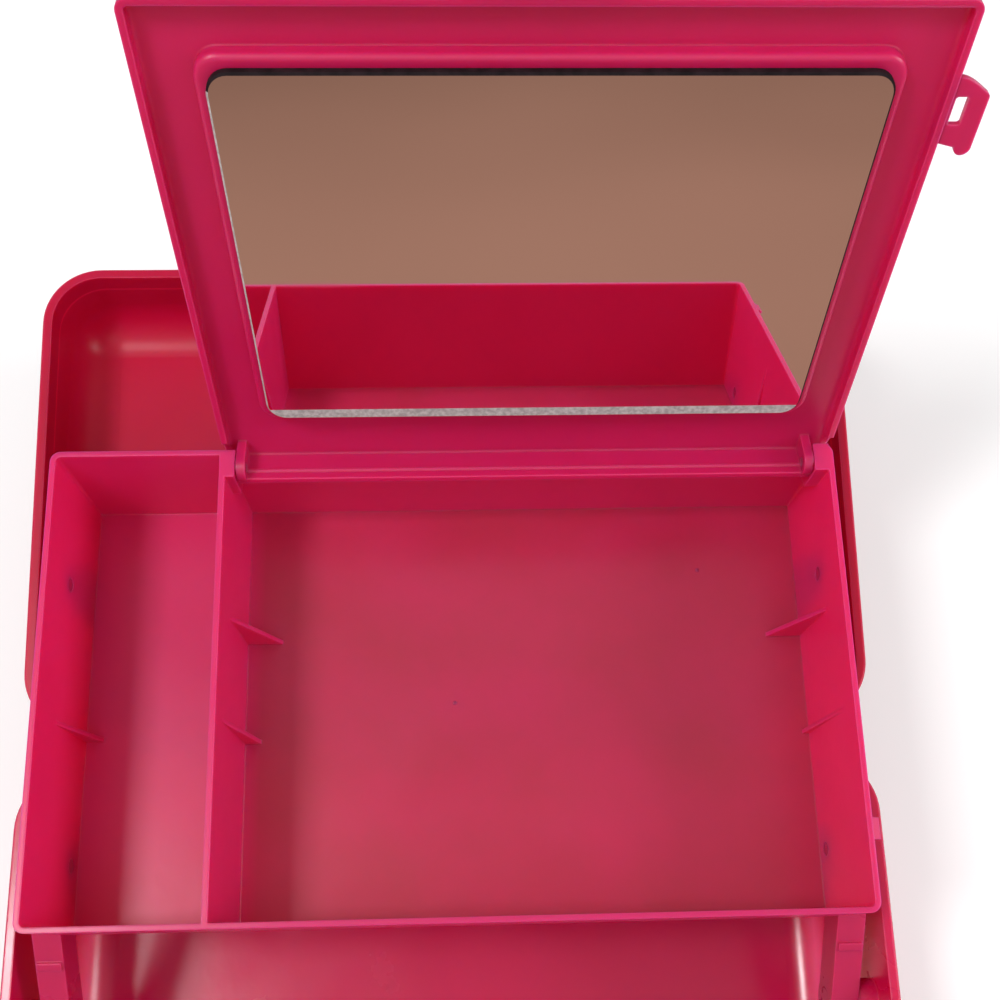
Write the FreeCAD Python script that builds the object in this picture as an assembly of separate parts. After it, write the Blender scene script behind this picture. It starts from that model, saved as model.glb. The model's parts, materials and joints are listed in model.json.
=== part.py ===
import FreeCAD, Part
import math
import os

# Makeup storage case, standing open: a tub-shaped base, a hinged lid with a carry handle,
# and a divided tray that swings out on a parallel linkage and has its own mirror lid.
# Millimetres, +Z up. The origin is the centre of the base's flat underside;
# X runs along the hinge line and the front of the case faces -Y.

# ---- case shells ----
case_width = 257.0
case_depth = 150.0
base_height = 62.0
lid_height = 32.0
case_wall = 2.2
case_floor = 2.2
case_corner_r = 18.0
case_draft_deg = 2.0
base_bottom_r = 14.5
lid_top_r = 15.5
rim_proud = 0.8
rim_height = 3.0
rim_edge = 0.5
rim_gap = 0.4

# ---- main hinge ----
hinge_set_back = 5.5
hinge_x = 78.0
knuckle_r = 3.1
knuckle_mid = 14.0
knuckle_side = 9.0
knuckle_web = 9.0
hinge_pin_r = 1.5
hinge_pin_head_r = 2.4
hinge_pin_head = 1.0
lid_open_deg = 175.5

# ---- fits and gaps ----
run_gap = 0.05
fixed_gap = 0.01
side_gap = 0.3
knuckle_gap = 0.4

# ---- swing linkage ----
link_length = 50.25
link_rest_deg = 32.0
pivot_pin_r = 2.0
pivot_head_r = 4.0
pivot_head = 1.4
arm_width = 8.0
arm_depth = 11.5
arm_eye_r = 6.4
arm_flange = 1.8
arm_web = 1.9
arm_ledge_at = 29.5
arm_ledge_long = 2.5
arm_ledge_high = 1.0
base_boss_r = 6.5
boss_rib_long = 14.0

# ---- lid ears that carry the rear of the tray ----
ear_clear = 1.0
ear_thick = 2.6
ear_tip_r = 6.2
ear_foot_half = 13.0
ear_foot_thick = 2.2
ear_foot_reach = 13.0
ear_foot_corner = 4.0
ear_rib_thick = 2.0
ear_rib_proud = 1.6
rivet_r = 1.6
rivet_head_r = 3.0
rivet_head = 1.0
rivet_spread = 8.0
rivet_in = 7.0

# ---- tray ----
tray_width = 220.0
tray_depth = 130.9
tray_height = 41.5
tray_wall = 1.5
tray_floor = 1.6
tray_draft_deg = 1.72
tray_corner_r = 3.0
tray_bottom_r = 1.0
tray_front_y = 25.0
tray_above_base = 45.5
arm_pin_in = 20.0
arm_pin_down = 34.9
tray_boss_r = 5.0
divider_x = -62.4
divider_thick = 1.6
divider_taper_deg = 1.3
fin_thick = 1.2

# ---- mirror lid, given from its hinge line on the tray ----
mirror_hinge_in = 4.0
mirror_hinge_down = 3.5
mirror_open_deg = 108.4
mirror_left_x = -62.6
mirror_right_x = 110.4
mirror_length = 129.5
mirror_rim_gap = 0.3
mirror_lid_high = 5.0
mirror_plate = 1.6
mirror_corner_r = 2.8
mirror_edge_r = 2.6
plateau_left_x = -50.0
plateau_right_x = 99.0
plateau_near = 15.5
plateau_far = 118.2
plateau_rise = 3.7
plateau_corner_r = 5.5
glass_side_in = 2.5
glass_thick = 2.0
glass_corner_r = 5.0
tape_thick = 0.4
tape_wide = 12.0
leaf_back = 3.6
leaf_thick = 1.8
leaf_down = 2.5
leaf_bead_r = 0.5
leaf_bead_up = 0.6
mirror_ear_thick = 2.5
mirror_pin_r = 1.25
boss_along = 8.0
boss_wide = 4.2
boss_low = 12.0
rear_cut = 9.0
bump_left_x = 1.2
bump_right_x = 45.9
bump_proud = 1.1

# ---- clasp on the mirror lid's right edge ----
clasp_from_hinge = 105.2
clasp_root_half = 7.7
clasp_reach = 7.7
clasp_thick = 1.4
clasp_lip = 1.9
clasp_lip_rise = 1.0
clasp_slot_wide = 2.9
clasp_slot_long = 6.5
clasp_slot_from = 0.6
clasp_slot_corner_r = 0.6
clasp_axis_up = 0.8
catch_fit = 0.35
catch_proud = 2.2
catch_end_gap = 0.4

# ---- front latches ----
latch_x = 60.0
latch_wide = 25.0
latch_axis_out = 4.0
latch_axis_down = 12.0
latch_pin_r = 1.5
latch_barrel_r = 3.0
latch_lug = 3.0
latch_lug_r = 3.6
latch_plate = 2.2
latch_catch_up = 3.6
latch_catch_high = 3.0
latch_catch_proud = 3.0
latch_catch_wide = 20.0
latch_hook_over = 1.9
latch_hook_thick = 2.0
latch_lip = 5.0

# ---- carry handle ----
handle_span = 104.0
handle_grip = 10.0
handle_wide = 16.0
handle_edge_r = 4.0
handle_corner_r = 14.0
handle_splay = 10.0
handle_foot_thick = 3.0
handle_foot_out = 14.0
screw_r = 1.75
screw_head_r = 3.5
screw_head = 1.8
screw_long = 9.0

os.makedirs("parts", exist_ok=True)
X_AXIS = FreeCAD.Vector(1, 0, 0)
Y_AXIS = FreeCAD.Vector(0, 1, 0)
Z_AXIS = FreeCAD.Vector(0, 0, 1)


def vec(x, y, z):
    return FreeCAD.Vector(x, y, z)


def rounded_wire(x0, x1, y0, y1, r, z):
    """Closed outline of a rectangle with rounded corners at height z."""
    k = r * (1 - math.sqrt(0.5))
    corners = (
        (vec(x1 - r, y0, z), vec(x1 - k, y0 + k, z), vec(x1, y0 + r, z)),
        (vec(x1, y1 - r, z), vec(x1 - k, y1 - k, z), vec(x1 - r, y1, z)),
        (vec(x0 + r, y1, z), vec(x0 + k, y1 - k, z), vec(x0, y1 - r, z)),
        (vec(x0, y0 + r, z), vec(x0 + k, y0 + k, z), vec(x0 + r, y0, z)),
    )
    edges = []
    last = corners[-1][2]
    for start, middle, end in corners:
        edges.append(Part.LineSegment(last, start).toShape())
        edges.append(Part.Arc(start, middle, end).toShape())
        last = end
    return Part.Wire(edges)


def rounded_block(x0, x1, y0, y1, r, z0, z1):
    """Straight-sided block with rounded vertical corners."""
    face = Part.Face(rounded_wire(x0, x1, y0, y1, r, z0))
    return face.extrude(vec(0, 0, z1 - z0))


def edges_at(shape, z):
    """Edges that lie wholly in the horizontal plane at height z."""
    return [e for e in shape.Edges if all(abs(v.Z - z) < 1e-4 for v in e.Vertexes)]


def drafted_block(x0, x1, y0, y1, r, z_wide, z_narrow, draft_deg, end_r):
    """Block that narrows from z_wide to z_narrow, with its narrow end's edges rounded."""
    s = abs(z_wide - z_narrow) * math.tan(math.radians(draft_deg))
    wide = rounded_wire(x0, x1, y0, y1, r, z_wide)
    narrow = rounded_wire(x0 + s, x1 - s, y0 + s, y1 - s, max(r - s, 0.4), z_narrow)
    block = Part.makeLoft([wide, narrow], True, True)
    if end_r > 0:
        block = block.makeFillet(end_r, edges_at(block, z_narrow))
    return block


def cyl_x(y, z, r, x0, x1):
    """Cylinder along X between x0 and x1."""
    return Part.makeCylinder(r, abs(x1 - x0), vec(min(x0, x1), y, z), X_AXIS)


def prism_x(points, x0, x1):
    """Polygon in the YZ plane carried along X."""
    ring = [vec(x0, y, z) for y, z in points]
    return Part.Face(Part.makePolygon(ring + ring[:1])).extrude(vec(x1 - x0, 0, 0))


def prism_y(points, y0, y1):
    """Polygon in the XZ plane carried along Y."""
    ring = [vec(x, y0, z) for x, z in points]
    return Part.Face(Part.makePolygon(ring + ring[:1])).extrude(vec(0, y1 - y0, 0))


def box(x0, x1, y0, y1, z0, z1):
    return Part.makeBox(x1 - x0, y1 - y0, z1 - z0, vec(x0, y0, z0))


def mirrored(shape):
    """The same form on the other side of the YZ plane."""
    return shape.mirror(vec(0, 0, 0), X_AXIS)


def fused(first, *others):
    return first.multiFuse(list(others)).removeSplitter()


def cut(shape, *tools):
    return shape.cut(list(tools))


def keep(name, shape):
    """Write one sub-part as a STEP file."""
    shape.exportStep("parts/" + name + ".step")
    print(name, "solids", len(shape.Solids), "volume", round(shape.Volume, 1), "valid", shape.isValid())


# ---- places that the pieces share ----
draft = math.tan(math.radians(case_draft_deg))
tray_slope = math.tan(math.radians(tray_draft_deg))
half_w = case_width / 2
half_d = case_depth / 2
wall_w = half_w - rim_proud
wall_d = half_d - rim_proud
lid_rim_z = base_height + rim_gap
lid_top_z = lid_rim_z + lid_height
hinge_y = half_d + hinge_set_back
hinge_z = base_height + rim_gap / 2
hinge_at = vec(0, hinge_y, hinge_z)

link_y = link_length * math.cos(math.radians(link_rest_deg))
link_z = link_length * math.sin(math.radians(link_rest_deg))
tray_rim_z = base_height + tray_above_base
tray_back_y = tray_front_y + tray_depth
tray_half = tray_width / 2
arm_pin_y = tray_front_y + arm_pin_in
arm_pin_z = tray_rim_z - arm_pin_down
arm_base_y = arm_pin_y - link_y
arm_base_z = arm_pin_z - link_z
ear_pin_y = hinge_y + link_y
ear_pin_z = hinge_z + link_z
shut_rad = math.radians(link_rest_deg + lid_open_deg)
ear_shut_y = hinge_y + link_length * math.cos(shut_rad)
ear_shut_z = hinge_z + link_length * math.sin(shut_rad)

arm_in_x = tray_half + 0.5 + side_gap
arm_out_x = arm_in_x + arm_width
ear_in_x = tray_half + ear_clear
ear_out_x = ear_in_x + ear_thick
head_sink = pivot_head + 0.2

mirror_y = tray_back_y - mirror_hinge_in
mirror_z = tray_rim_z - mirror_hinge_down
mirror_at = vec(0, mirror_y, mirror_z)


def open_lid(shape):
    """Turn a form modelled on the shut lid to the open lid's place."""
    shape.rotate(hinge_at, X_AXIS, -lid_open_deg)
    return shape


def open_mirror(shape):
    """Turn a form modelled on the shut mirror lid to its open place."""
    shape.rotate(mirror_at, X_AXIS, -mirror_open_deg)
    return shape


def hollow_shell(z_rim, z_far, end_r):
    """Drafted tub or lid with a rim bead; z_far is the outside of its closed end."""
    step = 1 if z_far > z_rim else -1
    outside = drafted_block(-wall_w, wall_w, -wall_d, wall_d, case_corner_r - rim_proud,
                            z_rim, z_far, case_draft_deg, end_r)
    rim_far = z_rim + step * rim_height
    bead = rounded_block(-half_w, half_w, -half_d, half_d, case_corner_r,
                         min(z_rim, rim_far), max(z_rim, rim_far))
    bead = bead.makeChamfer(rim_edge, edges_at(bead, z_rim))
    in_w = wall_w - case_wall
    in_d = wall_d - case_wall
    inside = drafted_block(-in_w, in_w, -in_d, in_d, case_corner_r - rim_proud - case_wall,
                           z_rim, z_far - step * case_floor, case_draft_deg, end_r - case_wall)
    return fused(outside, bead), inside


def at_both_hinges(make):
    """A hinge form at each of the two hinge stations."""
    return [make(-hinge_x), make(hinge_x)]


# ---- base tub: shell, middle hinge knuckles, arm bosses and latch lugs ----
base_outside, base_inside = hollow_shell(base_height, 0.0, base_bottom_r)
mid_half = knuckle_mid / 2
wall_mid_d = wall_d - case_wall / 2
arm_boss_end = arm_out_x + side_gap
base_slope_at_pin = (base_height - arm_base_z) * draft
boss_root_x = wall_w - base_slope_at_pin - case_wall / 2


def base_knuckle(x):
    web = prism_x([(wall_mid_d - knuckle_web * draft, hinge_z - knuckle_web),
                   (hinge_y + knuckle_r * 0.64, hinge_z - knuckle_r * 0.76),
                   (hinge_y, base_height), (wall_mid_d, base_height)], x - mid_half, x + mid_half)
    return fused(web, cyl_x(hinge_y, hinge_z, knuckle_r, x - mid_half, x + mid_half))


def base_knuckle_bore(x):
    return cyl_x(hinge_y, hinge_z, hinge_pin_r + fixed_gap, x - mid_half - 1, x + mid_half + 1)


latch_y = -half_d - latch_axis_out
latch_z = base_height - latch_axis_down
latch_half = latch_wide / 2


def latch_lug_form(x0, x1):
    root = -(wall_d - case_wall / 2 - (base_height - latch_z) * draft)
    web = prism_x([(root, latch_z - latch_lug_r * 2.2), (latch_y - latch_lug_r * 0.5, latch_z - latch_lug_r * 0.87),
                   (latch_y, latch_z + latch_lug_r), (root, latch_z + latch_lug_r * 1.4)], x0, x1)
    lug = fused(web, cyl_x(latch_y, latch_z, latch_lug_r, x0, x1))
    return cut(lug, cyl_x(latch_y, latch_z, latch_pin_r + fixed_gap, x0 - 1, x1 + 1))


base_lugs = []
for x in (-latch_x, latch_x):
    for side in (-1, 1):
        near = x + side * (latch_half + side_gap)
        base_lugs.append(latch_lug_form(min(near, near + side * latch_lug), max(near, near + side * latch_lug)))

boss = cyl_x(arm_base_y, arm_base_z, base_boss_r, arm_boss_end, boss_root_x)
rib_foot_x = boss_root_x - (base_boss_r + boss_rib_long) * draft
boss_rib = prism_y([(arm_boss_end + 1.5, arm_base_z), (boss_root_x, arm_base_z),
                    (rib_foot_x, arm_base_z - base_boss_r - boss_rib_long)],
                   arm_base_y - 1.1, arm_base_y + 1.1)
arm_boss = fused(boss, boss_rib)
boss_bore = cyl_x(arm_base_y, arm_base_z, pivot_pin_r + fixed_gap, arm_boss_end - 1, boss_root_x - 0.5)

tub = cut(base_outside, base_inside)
tub = fused(tub, *at_both_hinges(base_knuckle), *base_lugs, arm_boss, mirrored(arm_boss))
tub = cut(tub, *at_both_hinges(base_knuckle_bore), boss_bore, mirrored(boss_bore))
keep("base_tub", tub)

# ---- steel hinge pins, fixed in the base's knuckles ----
pin_half = mid_half + knuckle_gap + knuckle_side


def hinge_pin(x):
    shank = cyl_x(hinge_y, hinge_z, hinge_pin_r, x - pin_half, x + pin_half + 0.6)
    head = cyl_x(hinge_y, hinge_z, hinge_pin_head_r, x - pin_half - hinge_pin_head, x - pin_half - 0.1)
    neck = cyl_x(hinge_y, hinge_z, hinge_pin_r, x - pin_half - 0.5, x - pin_half)
    return fused(shank, neck, head)


keep("case_hinge_pins", Part.makeCompound(at_both_hinges(hinge_pin)))


# ---- lid shell: modelled shut, then opened ----
def lid_knuckle(x):
    web = prism_x([(wall_mid_d, lid_rim_z), (hinge_y, lid_rim_z),
                   (hinge_y + knuckle_r * 0.64, hinge_z + knuckle_r * 0.76),
                   (wall_mid_d - knuckle_web * draft, hinge_z + knuckle_web)], x, x + knuckle_side)
    barrel = cyl_x(hinge_y, hinge_z, knuckle_r, x, x + knuckle_side)
    bore = cyl_x(hinge_y, hinge_z, hinge_pin_r + run_gap, x - 1, x + knuckle_side + 1)
    return cut(fused(web, barrel), bore)


lid_knuckles = []
for x in (-hinge_x, hinge_x):
    lid_knuckles.append(lid_knuckle(x - mid_half - knuckle_gap - knuckle_side))
    lid_knuckles.append(lid_knuckle(x + mid_half + knuckle_gap))

catch_root = -(wall_d - case_wall / 2)
catch_tip = -half_d - latch_catch_proud
catch_low = lid_rim_z + latch_catch_up
catch_top = catch_low + latch_catch_high
lid_catches = []
for x in (-latch_x, latch_x):
    lid_catches.append(prism_x([(catch_root, catch_low - 2.0), (catch_tip, catch_low),
                                (catch_tip, catch_top), (catch_root, catch_top)],
                               x - latch_catch_wide / 2, x + latch_catch_wide / 2))

lid_outside, lid_inside = hollow_shell(lid_rim_z, lid_top_z, lid_top_r)
lid_ceiling = lid_top_z - case_floor
handle_foot_x = handle_span / 2 + handle_splay + handle_foot_out / 2 - 2.0
rivet_x = ear_in_x - rivet_in
lid_holes = []
for side in (-1, 1):
    lid_holes.append(Part.makeCylinder(screw_r + fixed_gap, case_floor + 2,
                                       vec(side * handle_foot_x, 0, lid_ceiling - 1), Z_AXIS))
    for dy in (-rivet_spread, rivet_spread):
        lid_holes.append(Part.makeCylinder(rivet_r + fixed_gap, case_floor + 2,
                                           vec(side * rivet_x, ear_shut_y + dy, lid_ceiling - 1), Z_AXIS))
lid = cut(lid_outside, lid_inside)
lid = fused(lid, *lid_knuckles, *lid_catches)
lid = cut(lid, *lid_holes)
keep("lid_shell", open_lid(lid))

# ---- carry handle: an arch whose crest rests on the floor when the lid lies open ----
lean = math.radians(180.0 - lid_open_deg)
crest_m = hinge_y - (handle_wide / 2 - handle_edge_r)
crest_k = handle_edge_r + (hinge_z + crest_m * math.sin(lean) - handle_edge_r) / math.cos(lean)
handle_top_z = hinge_z + crest_k
handle_low_z = lid_top_z
handle_rise = handle_top_z - handle_low_z


def arch(top_half, splay, z_low, z_top, corner_r):
    """Face of a trapezoid arch in the XZ plane with rounded upper corners."""
    foot_half = top_half + splay
    ring = [vec(-foot_half, -handle_wide / 2, z_low), vec(-top_half, -handle_wide / 2, z_top),
            vec(top_half, -handle_wide / 2, z_top), vec(foot_half, -handle_wide / 2, z_low)]
    body = Part.Face(Part.makePolygon(ring + ring[:1])).extrude(vec(0, handle_wide, 0))
    tops = [e for e in body.Edges
            if all(abs(v.Z - z_top) < 1e-4 for v in e.Vertexes) and abs(e.Length - handle_wide) < 1e-4]
    return body.makeFillet(corner_r, tops)


outer_arch = arch(handle_span / 2 + handle_grip * 0.6, handle_splay, handle_low_z, handle_top_z, handle_corner_r)
inner_arch = arch(handle_span / 2 - handle_grip * 0.4, handle_splay, handle_low_z - 1,
                  handle_top_z - handle_grip, handle_corner_r - handle_grip * 0.5)
grip = cut(outer_arch, inner_arch)
soft_edges = [e for e in grip.Edges
              if max(v.Z for v in e.Vertexes) > handle_low_z + 1
              and all(abs(abs(v.Y) - handle_wide / 2) < 1e-4 for v in e.Vertexes)]
grip = grip.makeFillet(handle_edge_r, soft_edges)
foot_in = handle_span / 2 - 2.0
foot_end = handle_foot_x + handle_foot_out / 2 + 4.0
foot_plate = rounded_block(foot_in, foot_end, -handle_wide / 2 - 1.5, handle_wide / 2 + 1.5, 6.0,
                           handle_low_z, handle_low_z + handle_foot_thick)
pillar = Part.makeCone(6.5, 4.5, screw_long + 1.5, vec(handle_foot_x, 0, handle_low_z), Z_AXIS)
pilot = Part.makeCylinder(screw_r + fixed_gap, screw_long + 0.5, vec(handle_foot_x, 0, handle_low_z - 1), Z_AXIS)
handle = fused(grip, foot_plate, mirrored(foot_plate), pillar, mirrored(pillar))
handle = cut(handle, pilot, mirrored(pilot))
keep("carry_handle", open_lid(handle))

handle_screw = Part.makeCylinder(screw_r, screw_long - 0.6, vec(handle_foot_x, 0, lid_ceiling), Z_AXIS)
screw_cap = Part.makeCylinder(screw_head_r, screw_head, vec(handle_foot_x, 0, lid_ceiling - screw_head), Z_AXIS)
screw_cap = screw_cap.makeChamfer(0.6, edges_at(screw_cap, lid_ceiling - screw_head))
handle_screw = fused(handle_screw, screw_cap)
keep("handle_screws", open_lid(Part.makeCompound([handle_screw, mirrored(handle_screw)])))

# ---- ears: upright lugs riveted to the lid that carry the rear of the tray ----
shoulder = 7.0
ear_plate = prism_x([(ear_shut_y - ear_tip_r, ear_shut_z), (ear_shut_y + ear_tip_r, ear_shut_z),
                     (ear_shut_y + ear_foot_half, lid_ceiling - shoulder),
                     (ear_shut_y + ear_foot_half, lid_ceiling),
                     (ear_shut_y - ear_foot_half, lid_ceiling),
                     (ear_shut_y - ear_foot_half, lid_ceiling - shoulder)], ear_in_x, ear_out_x)
ear_tip = cyl_x(ear_shut_y, ear_shut_z, ear_tip_r, ear_in_x, ear_out_x)
ear_foot = rounded_block(ear_in_x - ear_foot_reach, ear_out_x, ear_shut_y - ear_foot_half,
                         ear_shut_y + ear_foot_half, ear_foot_corner,
                         lid_ceiling - ear_foot_thick, lid_ceiling)
ear_foot = fused(ear_foot, box(ear_out_x - 5, ear_out_x, ear_shut_y - ear_foot_half,
                               ear_shut_y + ear_foot_half, lid_ceiling - ear_foot_thick, lid_ceiling))
ear_rib = prism_x([(ear_shut_y - ear_rib_thick / 2, ear_shut_z + ear_tip_r + 2),
                   (ear_shut_y + ear_rib_thick / 2, ear_shut_z + ear_tip_r + 2),
                   (ear_shut_y + ear_rib_thick / 2, lid_ceiling),
                   (ear_shut_y - ear_rib_thick / 2, lid_ceiling)], ear_out_x, ear_out_x + ear_rib_proud)
ear = fused(ear_plate, ear_tip, ear_foot, ear_rib)
lid_reach = fused(lid_inside, box(-wall_w, wall_w, -wall_d, wall_d, 0, lid_rim_z))
ear_holes = [cyl_x(ear_shut_y, ear_shut_z, pivot_pin_r + run_gap, ear_in_x - 1, ear_out_x + 1)]
for dy in (-rivet_spread, rivet_spread):
    ear_holes.append(Part.makeCylinder(rivet_r + fixed_gap, ear_foot_thick + 2,
                                       vec(rivet_x, ear_shut_y + dy, lid_ceiling - ear_foot_thick - 1), Z_AXIS))
ear = cut(ear.common(lid_reach), *ear_holes)
keep("ear_right", open_lid(ear.copy()))
keep("ear_left", open_lid(mirrored(ear)))

rivets = []
for side in (-1, 1):
    for dy in (-rivet_spread, rivet_spread):
        foot = vec(side * rivet_x, ear_shut_y + dy, lid_ceiling - ear_foot_thick)
        shank = Part.makeCylinder(rivet_r, ear_foot_thick + case_floor, foot, Z_AXIS)
        low = Part.makeCylinder(rivet_head_r, rivet_head, foot - vec(0, 0, rivet_head), Z_AXIS)
        top = Part.makeCylinder(rivet_head_r, rivet_head, foot + vec(0, 0, ear_foot_thick + case_floor), Z_AXIS)
        low = low.makeChamfer(rivet_head * 0.6, edges_at(low, foot.z - rivet_head))
        top = top.makeChamfer(rivet_head * 0.6, edges_at(top, lid_top_z + rivet_head))
        rivets.append(fused(shank, low, top))
keep("ear_rivets", open_lid(Part.makeCompound(rivets)))


# ---- front arms: channel bars between the base bosses and the tray ----
link_dir = vec(0, link_y, link_z) * (1 / link_length)
link_up = vec(0, -link_z, link_y) * (1 / link_length)
arm_base_at = vec(0, arm_base_y, arm_base_z)


def bar_point(along, up):
    p = arm_base_at + link_dir * along + link_up * up
    return (p.y, p.z)


def bar(a0, a1, u0, u1, x0, x1):
    """Block laid along the arm: a is the distance from the base pivot, u is up from the centre line."""
    return prism_x([bar_point(a0, u0), bar_point(a1, u0), bar_point(a1, u1), bar_point(a0, u1)], x0, x1)


half_depth = arm_depth / 2
arm_body = bar(0, link_length, -half_depth, half_depth, arm_in_x, arm_out_x)
base_eye = cyl_x(arm_base_y, arm_base_z, arm_eye_r, arm_in_x, arm_out_x)
tray_eye = cyl_x(arm_pin_y, arm_pin_z, arm_eye_r, arm_in_x, arm_out_x)
ledge_a = link_length - arm_ledge_at
ledge = bar(ledge_a, ledge_a + arm_ledge_long, half_depth - 0.5, half_depth + arm_ledge_high,
            arm_in_x + 0.5, arm_out_x - 0.5)
pocket_in = half_depth - arm_flange
pocket_start = arm_eye_r + 1.0
pocket_mid = link_length / 2
pockets = [bar(pocket_start, pocket_mid - arm_flange / 2, -pocket_in, pocket_in, arm_in_x + arm_web, arm_out_x + 1),
           bar(pocket_mid + arm_flange / 2, link_length - pocket_start, -pocket_in, pocket_in,
               arm_in_x + arm_web, arm_out_x + 1)]
arm_bores = [cyl_x(arm_base_y, arm_base_z, pivot_pin_r + run_gap, arm_in_x - 1, arm_out_x + 1),
             cyl_x(arm_pin_y, arm_pin_z, pivot_pin_r + run_gap, arm_in_x - 1, arm_out_x + 1),
             cyl_x(arm_base_y, arm_base_z, pivot_head_r + side_gap, arm_in_x - 1, arm_in_x + head_sink),
             cyl_x(arm_pin_y, arm_pin_z, pivot_head_r + side_gap, arm_out_x - head_sink, arm_out_x + 1)]
arm = cut(fused(arm_body, base_eye, tray_eye, ledge), *pockets, *arm_bores)
keep("arm_right", arm)
keep("arm_left", mirrored(arm))

base_pin = fused(cyl_x(arm_base_y, arm_base_z, pivot_pin_r, arm_in_x + 0.1, boss_root_x - 0.7),
                 cyl_x(arm_base_y, arm_base_z, pivot_head_r, arm_in_x + 0.1, arm_in_x + 0.1 + pivot_head))
keep("arm_base_pins", Part.makeCompound([base_pin, mirrored(base_pin)]))


def tray_side_x(down):
    """Outer face of the tray's side wall at a depth below its rim."""
    return tray_half - down * tray_slope


arm_pin_root = tray_side_x(arm_pin_down) - tray_wall + 0.1
arm_pin = fused(cyl_x(arm_pin_y, arm_pin_z, pivot_pin_r, arm_pin_root, arm_out_x - 0.1),
                cyl_x(arm_pin_y, arm_pin_z, pivot_head_r, arm_out_x - 0.1 - pivot_head, arm_out_x - 0.1))
keep("arm_tray_pins", Part.makeCompound([arm_pin, mirrored(arm_pin)]))

ear_down = tray_rim_z - ear_pin_z
ear_pin_root = tray_side_x(ear_down) - tray_wall + 0.1
ear_pin = fused(cyl_x(ear_pin_y, ear_pin_z, pivot_pin_r, ear_pin_root, ear_out_x + 0.1 + pivot_head),
                cyl_x(ear_pin_y, ear_pin_z, pivot_head_r, ear_out_x + 0.1, ear_out_x + 0.1 + pivot_head))
keep("ear_tray_pins", Part.makeCompound([ear_pin, mirrored(ear_pin)]))

# ---- tray: drafted box with a divider, corner fins, hinge bosses and pivot bosses ----
tray_out = drafted_block(-tray_half, tray_half, tray_front_y, tray_back_y, tray_corner_r,
                         tray_rim_z, tray_rim_z - tray_height, tray_draft_deg, tray_bottom_r)
tray_in = drafted_block(-tray_half + tray_wall, tray_half - tray_wall, tray_front_y + tray_wall,
                        tray_back_y - tray_wall, tray_corner_r - tray_wall, tray_rim_z,
                        tray_rim_z - tray_height + tray_floor, tray_draft_deg, 0)
tray = cut(tray_out, tray_in)
floor_z = tray_rim_z - tray_height + tray_floor
inner_h = tray_height - tray_floor
div_flare = inner_h * math.tan(math.radians(divider_taper_deg))
div_l = divider_x - divider_thick / 2
div_r = divider_x + divider_thick / 2
divider = prism_y([(div_l, tray_rim_z), (div_r, tray_rim_z), (div_r + div_flare, floor_z - 0.5),
                   (div_l - div_flare, floor_z - 0.5)], tray_front_y + tray_wall * 0.6 + inner_h * tray_slope,
                  tray_back_y - tray_wall * 0.6 - inner_h * tray_slope)
divider_ends = [box(div_l, div_r, tray_front_y + 0.5, tray_front_y + 4, tray_rim_z - 12, tray_rim_z),
                box(div_l, div_r, tray_back_y - 4, tray_back_y - 0.5, tray_rim_z - 12, tray_rim_z)]


def fin(y, x_wall, x_foot, top_down):
    """Thin triangular web from a wall down to the floor."""
    return prism_y([(x_wall, tray_rim_z - top_down), (x_foot, floor_z - 0.4), (x_wall, floor_z - 0.4)],
                   tray_front_y + y - fin_thick / 2, tray_front_y + y + fin_thick / 2)


side_in = tray_half - tray_wall / 2
fins = [fin(86.0, side_in - 0.7, 96.6, 12.6), fin(86.0, div_r - 0.4, -50.0, 12.6),
        fin(55.5, side_in - 0.7, 105.2, 5.2), fin(55.5, div_r - 0.4, -55.8, 5.2),
        fin(57.0, -side_in + 0.7, -102.0, 12.0)]


def hinge_boss(x0, x1):
    return prism_x([(tray_back_y - boss_along, tray_rim_z), (tray_back_y, tray_rim_z),
                    (tray_back_y - boss_low * tray_slope, tray_rim_z - boss_low),
                    (tray_back_y - tray_wall, tray_rim_z - boss_low - 4),
                    (tray_back_y - boss_along, tray_rim_z - boss_low)], x0, x1)


left_boss = hinge_boss(div_l, div_l + boss_wide)
right_boss_x = tray_half - tray_wall - boss_wide + 0.3
right_boss = hinge_boss(right_boss_x, tray_half - tray_wall * 0.7)
tray_pads = []
for side in (-1, 1):
    for y, z, down, end in ((arm_pin_y, arm_pin_z, arm_pin_down, arm_in_x - side_gap),
                            (ear_pin_y, ear_pin_z, ear_down, ear_in_x - side_gap)):
        tray_pads.append(cyl_x(y, z, tray_boss_r, side * (tray_side_x(down) - tray_wall * 0.6), side * end))

catch_y = mirror_y - clasp_from_hinge
catch_half = clasp_slot_long / 2 - catch_end_gap
clasp_axis_z = tray_rim_z + clasp_axis_up
catch_top_z = clasp_axis_z - clasp_slot_from - catch_fit
catch_low_z = clasp_axis_z - clasp_slot_from - clasp_slot_wide + catch_fit
wedge = prism_y([(tray_half - tray_wall / 2, catch_top_z), (tray_half + catch_proud, catch_low_z + 0.7),
                 (tray_half + catch_proud, catch_low_z), (tray_half - tray_wall / 2, catch_low_z)],
                catch_y - catch_half, catch_y + catch_half)

gap_left = div_l + boss_wide
gap_right = right_boss_x
rear_gap = box(gap_left, gap_right, tray_back_y - boss_along - 1, tray_back_y + 1, tray_rim_z - rear_cut, tray_rim_z + 1)
pivot_holes = []
for side in (-1, 1):
    for y, z in ((arm_pin_y, arm_pin_z), (ear_pin_y, ear_pin_z)):
        pivot_holes.append(cyl_x(y, z, pivot_pin_r + fixed_gap, side * (tray_half - 6), side * (tray_half + 3)))
pin_bores = [cyl_x(mirror_y, mirror_z, mirror_pin_r + run_gap, div_l - 1, gap_left + 1),
             cyl_x(mirror_y, mirror_z, mirror_pin_r + run_gap, gap_right - 1, tray_half - tray_wall)]
tray = fused(tray, divider, *divider_ends, *fins, left_boss, right_boss, *tray_pads, wedge)
tray = cut(tray, rear_gap, *pin_bores, *pivot_holes)
keep("tray", tray)

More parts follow.
